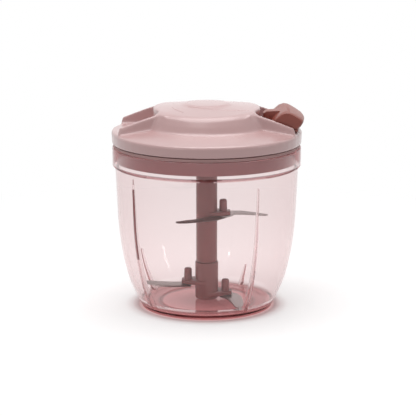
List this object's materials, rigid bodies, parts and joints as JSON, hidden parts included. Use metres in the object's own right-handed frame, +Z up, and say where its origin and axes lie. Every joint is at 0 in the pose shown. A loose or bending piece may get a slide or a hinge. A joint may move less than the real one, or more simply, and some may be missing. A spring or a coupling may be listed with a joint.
{
  "type": "vegetable chopper",
  "caption": "Pull-cord vegetable chopper: clear barrel-shaped bowl, matte lid with a docked T-handle on a cord, and curved blades on a central shaft.",
  "frame": {"origin": "middle of the bowl's foot, on the table", "axes": "+Z up along the blade shaft; +X towards the handle, the way the cord is pulled; +Y to the rear"},
  "size_m": [0.1317, 0.1304, 0.1414],
  "materials": {
    "bowl_clear": "clear, polished, tinted pink",
    "lid_matte": "fine matte moulding",
    "base_rose": "smooth, semi-gloss",
    "seal_silicone": "soft matte silicone",
    "handle_brown": "fine satin moulding",
    "shaft_rose": "smooth, semi-gloss",
    "blade_steel": "fine ground, satin",
    "inner_white": "self-lubricating moulding",
    "small_steel": "bright turned steel",
    "spring_steel": "tempered strip, slight blue",
    "cord": "braided polyester"
  },
  "bodies": {
    "bowl": {"bowl": "bowl_clear", "bowl_pivot_pin": "small_steel"},
    "lid": {"lid_cover": "lid_matte", "lid_base": "base_rose", "lid_seal": "seal_silicone", "cover_screw_1": "small_steel", "cover_screw_2": "small_steel", "cover_screw_3": "small_steel", "cover_screw_4": "small_steel", "drive_bush": "inner_white", "reel_axle": "small_steel", "spring_arbor": "inner_white", "recoil_spring": "spring_steel", "cord_eyelet": "small_steel"},
    "reel": {"cord_reel": "inner_white", "ratchet_ring": "inner_white", "spring_lid": "inner_white", "cord_winding": "cord"},
    "drive": {"drive_spindle": "inner_white"},
    "pawl_1": {"pawl_1": "small_steel"},
    "pawl_2": {"pawl_2": "small_steel"},
    "handle": {"handle_grip": "handle_brown", "handle_cap": "handle_brown", "cord_knot": "cord", "cord_lead": "cord"},
    "blades": {"upper_shaft": "shaft_rose", "lower_hub": "shaft_rose", "upper_blade": "blade_steel", "lower_left_blade": "blade_steel", "lower_right_blade": "blade_steel"}
  },
  "joints": [
    {"name": "lid_lift", "type": "slide", "parent": "bowl", "child": "lid", "axis": [0, 0, 1], "range_m": [0, 0.06]},
    {"name": "handle_pull", "type": "slide", "parent": "lid", "child": "handle", "axis": [1, 0, 0], "range_m": [0, 0.42], "stiffness_N_per_m": 12, "springref_m": -0.3, "deforming": ["cord_lead"]},
    {"name": "reel_spin", "type": "hinge", "parent": "lid", "child": "reel", "pos_m": [0, 0, 0.12], "axis": [0, 0, 1], "range_deg": [0, 1200], "deforming": ["recoil_spring"]},
    {"name": "drive_spin", "type": "hinge", "parent": "lid", "child": "drive", "pos_m": [0, 0, 0.105], "axis": [0, 0, 1], "range_deg": [0, 1200]},
    {"name": "blade_spin", "type": "hinge", "parent": "bowl", "child": "blades", "pos_m": [0, 0, 0.05], "axis": [0, 0, 1], "range_deg": [0, 1200]},
    {"name": "pawl_1_pivot", "type": "hinge", "parent": "drive", "child": "pawl_1", "pos_m": [0.0066, 0.00942, 0.1114], "axis": [0, 0, 1], "range_deg": [-14, 0], "stiffness_Nm_per_rad": 0.002},
    {"name": "pawl_2_pivot", "type": "hinge", "parent": "drive", "child": "pawl_2", "pos_m": [-0.0066, -0.00942, 0.1114], "axis": [0, 0, 1], "range_deg": [-14, 0], "stiffness_Nm_per_rad": 0.002}
  ],
  "couplings": [
    {"joint": "reel_spin", "follows": "handle_pull", "rad_per_m": 48.193},
    {"joint": "drive_spin", "follows": "handle_pull", "rad_per_m": 48.193},
    {"joint": "blade_spin", "follows": "handle_pull", "rad_per_m": 48.193}
  ]
}
